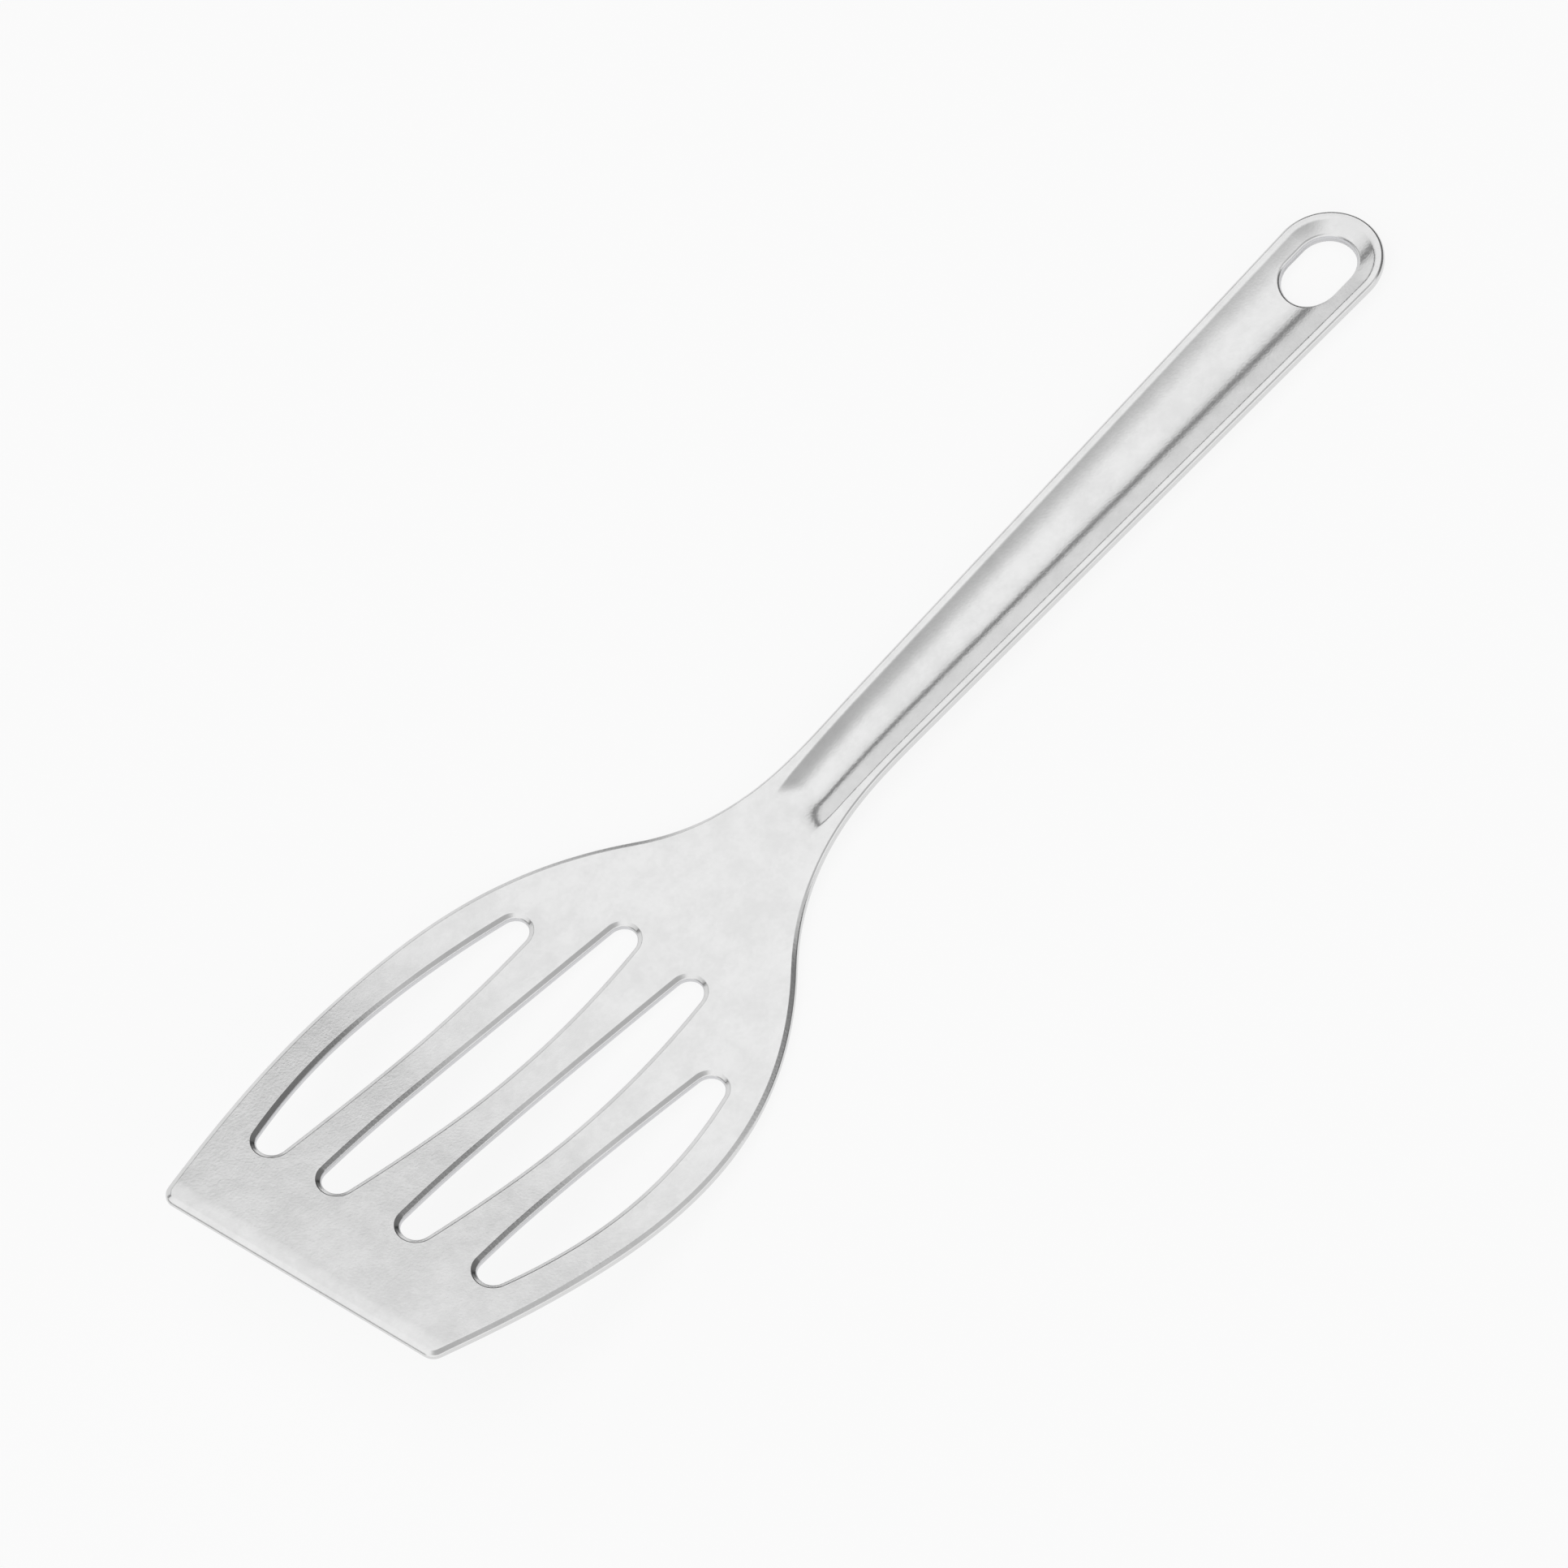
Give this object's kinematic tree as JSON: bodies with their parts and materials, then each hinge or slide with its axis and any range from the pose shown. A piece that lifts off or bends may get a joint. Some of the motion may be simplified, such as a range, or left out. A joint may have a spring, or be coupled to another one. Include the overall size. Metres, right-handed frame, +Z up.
{
  "type": "slotted turner",
  "caption": "Slotted kitchen turner pressed from sheet steel: a wide blade with a slanted front edge sweeps up over a heel into a troughed handle with an oblong hang hole.",
  "frame": {"origin": "centre of the bounding box at the height of the surface the turner lies on", "axes": "+X from the blade's front edge to the end of the handle, +Z up out of the blade's upper face, +Y completes the right-handed frame: with the blade nearest and the handle pointing away, +Y is on the left"},
  "size_m": [0.3366, 0.0918, 0.0276],
  "materials": {
    "stainless_steel": "satin, tumbled stainless steel with softly rounded edges"
  },
  "bodies": {
    "root": {"turner": "stainless_steel"}
  },
  "joints": []
}
